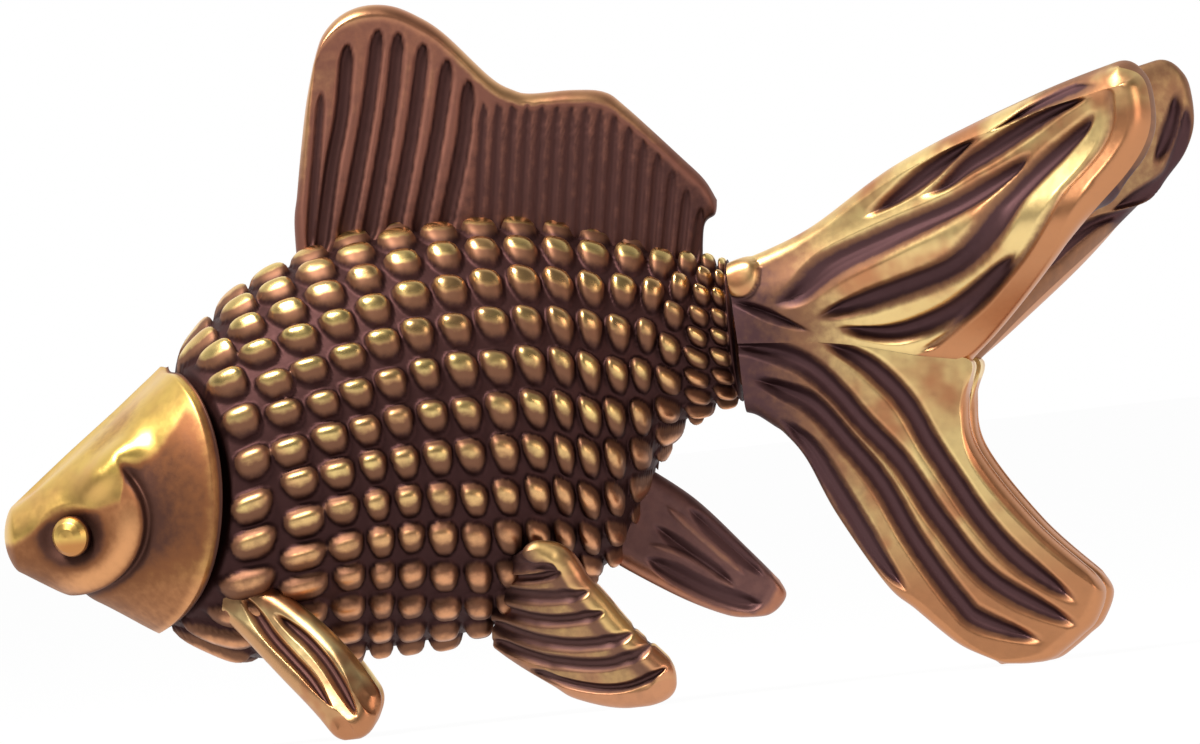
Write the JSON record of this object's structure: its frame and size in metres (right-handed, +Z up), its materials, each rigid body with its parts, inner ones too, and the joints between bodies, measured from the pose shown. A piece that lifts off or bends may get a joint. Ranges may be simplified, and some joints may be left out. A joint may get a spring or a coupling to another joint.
{
  "type": "brass goldfish figurine",
  "caption": "Cast brass goldfish with bead-like scales, tall rayed dorsal fin and a swung fantail, standing on its pectoral, pelvic and lower tail fins; a small shelf ornament",
  "frame": {"origin": "bottom centre of the bounding box: the ground plane under the feet is z = 0", "axes": "+X from the nose to the tail, +Z up, -Y is the fish's left side, the side the picture shows"},
  "size_m": [0.05, 0.0176, 0.0296],
  "materials": {
    "scaled_brass": "antique: dark patina between the scales, worn bright on top of each",
    "polished_brass": "rubbed bright, with dark patina left in the grooves",
    "dark_brass": "satin, mostly under brown patina"
  },
  "bodies": {
    "root": {"body": "scaled_brass", "head": "polished_brass", "left_eye": "polished_brass", "right_eye": "polished_brass", "dorsal_fin": "dark_brass", "left_pectoral_fin": "polished_brass", "right_pectoral_fin": "polished_brass", "left_pelvic_fin": "polished_brass", "right_pelvic_fin": "polished_brass", "anal_fin": "dark_brass", "tail_root": "dark_brass", "left_upper_tail_lobe": "polished_brass", "right_upper_tail_lobe": "polished_brass", "left_lower_tail_lobe": "polished_brass", "right_lower_tail_lobe": "polished_brass"}
  },
  "joints": []
}
